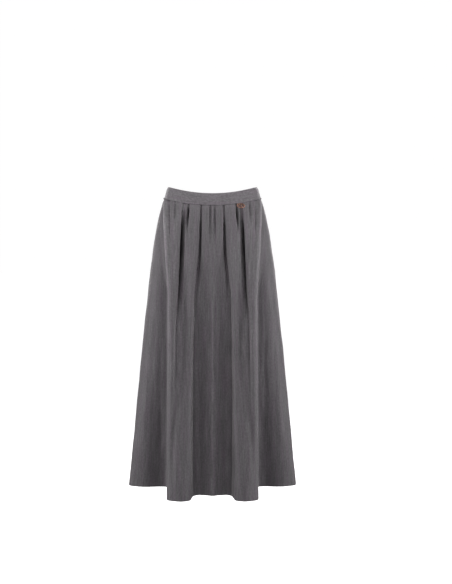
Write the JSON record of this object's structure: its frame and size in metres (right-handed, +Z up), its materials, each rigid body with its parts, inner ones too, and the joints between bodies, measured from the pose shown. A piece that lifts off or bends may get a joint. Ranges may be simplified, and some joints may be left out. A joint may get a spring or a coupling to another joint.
{
  "type": "maxi skirt",
  "caption": "Worn-form maxi skirt: a shaped waistband over soft gathers that fall into deep folds, with a concealed centre-back zip.",
  "frame": {"origin": "middle of the waist opening, level with the waistband's top edge at the hips", "axes": "+Z up the wearer, -Y towards the front of the skirt, +X towards the wearer's left"},
  "size_m": [0.503, 0.452, 0.8919],
  "materials": {
    "suiting": "matt grey melange twill suiting",
    "rose_gold": "polished rose-gold plate",
    "zip_metal": "dark nickel plate"
  },
  "bodies": {
    "skirt": {"waistband_front": "suiting", "waistband_back_left": "suiting", "waistband_back_right": "suiting", "front_panel": "suiting", "back_panel_left": "suiting", "back_panel_right": "suiting", "ornament": "rose_gold", "zip_slider": "zip_metal"},
    "zip_pull": {"zip_pull_tab": "zip_metal"}
  },
  "joints": [
    {"name": "zip_pull_hinge", "type": "hinge", "parent": "skirt", "child": "zip_pull", "pos_m": [0, 0.09536, -0.02689], "axis": [1, 0, 0], "range_deg": [0, 150]}
  ]
}
